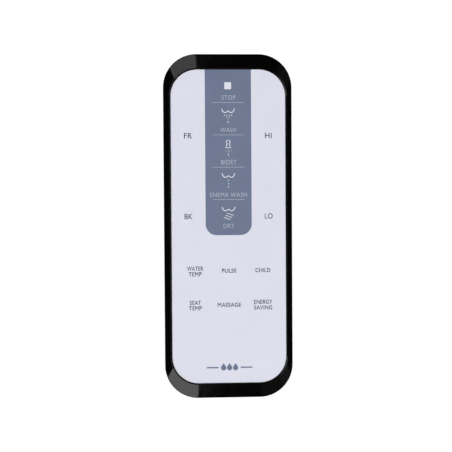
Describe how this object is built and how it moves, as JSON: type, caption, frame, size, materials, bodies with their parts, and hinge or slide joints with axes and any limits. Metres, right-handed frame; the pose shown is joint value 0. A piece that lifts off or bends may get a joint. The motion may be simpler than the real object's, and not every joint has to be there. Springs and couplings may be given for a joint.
{
  "type": "bidet seat remote control",
  "caption": "Wireless hand-held remote for an electric bidet seat, with a printed film keypad, infrared window, two cells and a sliding battery door.",
  "frame": {"origin": "centre of the flat back, on the surface the remote lies on", "axes": "+Z out of the keypad, +Y towards the infrared end, +X to the right when the legends are read upright"},
  "size_m": [0.056, 0.15, 0.019],
  "materials": {
    "case_gloss_black": "high gloss moulded ABS",
    "case_satin_black": "fine satin moulded ABS",
    "film_pale": "satin printed polyester film",
    "film_slate": "satin printed polyester film",
    "adhesive": "clear adhesive sheet",
    "board_green": "solder mask on glass-epoxy",
    "switch_black": "moulded nylon",
    "lamp_lens": "clear tinted epoxy",
    "window_dark": "dark infrared-passing acrylic",
    "chip_black": "moulded epoxy",
    "resonator_amber": "dipped ceramic",
    "capacitor_can": "sleeved aluminium can",
    "cell_sleeve": "printed foil sleeve",
    "contact_nickel": "nickel plate",
    "screw_black": "black zinc plate",
    "screw_steel": "zinc plate",
    "plunger_natural": "natural acetal",
    "foam_grey": "closed-cell foam"
  },
  "bodies": {
    "case": {"front_case": "case_gloss_black", "rear_case": "case_satin_black", "overlay_film": "film_pale", "overlay_adhesive": "adhesive", "circuit_board": "board_green", "switch_housings": "switch_black", "ir_leds": "lamp_lens", "ir_window": "window_dark", "controller_chip": "chip_black", "resonator": "resonator_amber", "capacitor": "capacitor_can", "resistors": "chip_black", "lamp_transistor": "chip_black", "battery_left": "cell_sleeve", "battery_right": "cell_sleeve", "contact_springs": "contact_nickel", "bridge_contact": "contact_nickel", "positive_terminal": "contact_nickel", "negative_terminal": "contact_nickel", "case_screws": "screw_black", "board_screws": "screw_steel"},
    "door": {"battery_door": "case_satin_black", "door_foam": "foam_grey"},
    "stop_key": {"stop_key_film": "film_slate", "stop_key_plunger": "plunger_natural"},
    "wash_key": {"wash_key_film": "film_slate", "wash_key_plunger": "plunger_natural"},
    "bidet_key": {"bidet_key_film": "film_slate", "bidet_key_plunger": "plunger_natural"},
    "enema_wash_key": {"enema_wash_key_film": "film_slate", "enema_wash_key_plunger": "plunger_natural"},
    "dry_key": {"dry_key_film": "film_slate", "dry_key_plunger": "plunger_natural"},
    "front_key": {"front_key_film": "film_pale", "front_key_plunger": "plunger_natural"},
    "back_key": {"back_key_film": "film_pale", "back_key_plunger": "plunger_natural"},
    "high_key": {"high_key_film": "film_pale", "high_key_plunger": "plunger_natural"},
    "low_key": {"low_key_film": "film_pale", "low_key_plunger": "plunger_natural"},
    "water_temp_key": {"water_temp_key_film": "film_pale", "water_temp_key_plunger": "plunger_natural"},
    "pulse_key": {"pulse_key_film": "film_pale", "pulse_key_plunger": "plunger_natural"},
    "child_lock_key": {"child_lock_key_film": "film_pale", "child_lock_key_plunger": "plunger_natural"},
    "seat_temp_key": {"seat_temp_key_film": "film_pale", "seat_temp_key_plunger": "plunger_natural"},
    "massage_key": {"massage_key_film": "film_pale", "massage_key_plunger": "plunger_natural"},
    "energy_saving_key": {"energy_saving_key_film": "film_pale", "energy_saving_key_plunger": "plunger_natural"}
  },
  "joints": [
    {"name": "door_slide", "type": "slide", "parent": "case", "child": "door", "axis": [0, -1, 0], "range_m": [0, 0.062]},
    {"name": "stop_press", "type": "slide", "parent": "case", "child": "stop_key", "axis": [0, 0, -1], "range_m": [0, 0.0003], "stiffness_N_per_m": 5000},
    {"name": "wash_press", "type": "slide", "parent": "case", "child": "wash_key", "axis": [0, 0, -1], "range_m": [0, 0.0003], "stiffness_N_per_m": 5000},
    {"name": "bidet_press", "type": "slide", "parent": "case", "child": "bidet_key", "axis": [0, 0, -1], "range_m": [0, 0.0003], "stiffness_N_per_m": 5000},
    {"name": "enema_wash_press", "type": "slide", "parent": "case", "child": "enema_wash_key", "axis": [0, 0, -1], "range_m": [0, 0.0003], "stiffness_N_per_m": 5000},
    {"name": "dry_press", "type": "slide", "parent": "case", "child": "dry_key", "axis": [0, 0, -1], "range_m": [0, 0.0003], "stiffness_N_per_m": 5000},
    {"name": "front_press", "type": "slide", "parent": "case", "child": "front_key", "axis": [0, 0, -1], "range_m": [0, 0.0003], "stiffness_N_per_m": 5000},
    {"name": "back_press", "type": "slide", "parent": "case", "child": "back_key", "axis": [0, 0, -1], "range_m": [0, 0.0003], "stiffness_N_per_m": 5000},
    {"name": "high_press", "type": "slide", "parent": "case", "child": "high_key", "axis": [0, 0, -1], "range_m": [0, 0.0003], "stiffness_N_per_m": 5000},
    {"name": "low_press", "type": "slide", "parent": "case", "child": "low_key", "axis": [0, 0, -1], "range_m": [0, 0.0003], "stiffness_N_per_m": 5000},
    {"name": "water_temp_press", "type": "slide", "parent": "case", "child": "water_temp_key", "axis": [0, 0, -1], "range_m": [0, 0.0003], "stiffness_N_per_m": 5000},
    {"name": "pulse_press", "type": "slide", "parent": "case", "child": "pulse_key", "axis": [0, 0, -1], "range_m": [0, 0.0003], "stiffness_N_per_m": 5000},
    {"name": "child_lock_press", "type": "slide", "parent": "case", "child": "child_lock_key", "axis": [0, 0, -1], "range_m": [0, 0.0003], "stiffness_N_per_m": 5000},
    {"name": "seat_temp_press", "type": "slide", "parent": "case", "child": "seat_temp_key", "axis": [0, 0, -1], "range_m": [0, 0.0003], "stiffness_N_per_m": 5000},
    {"name": "massage_press", "type": "slide", "parent": "case", "child": "massage_key", "axis": [0, 0, -1], "range_m": [0, 0.0003], "stiffness_N_per_m": 5000},
    {"name": "energy_saving_press", "type": "slide", "parent": "case", "child": "energy_saving_key", "axis": [0, 0, -1], "range_m": [0, 0.0003], "stiffness_N_per_m": 5000}
  ]
}
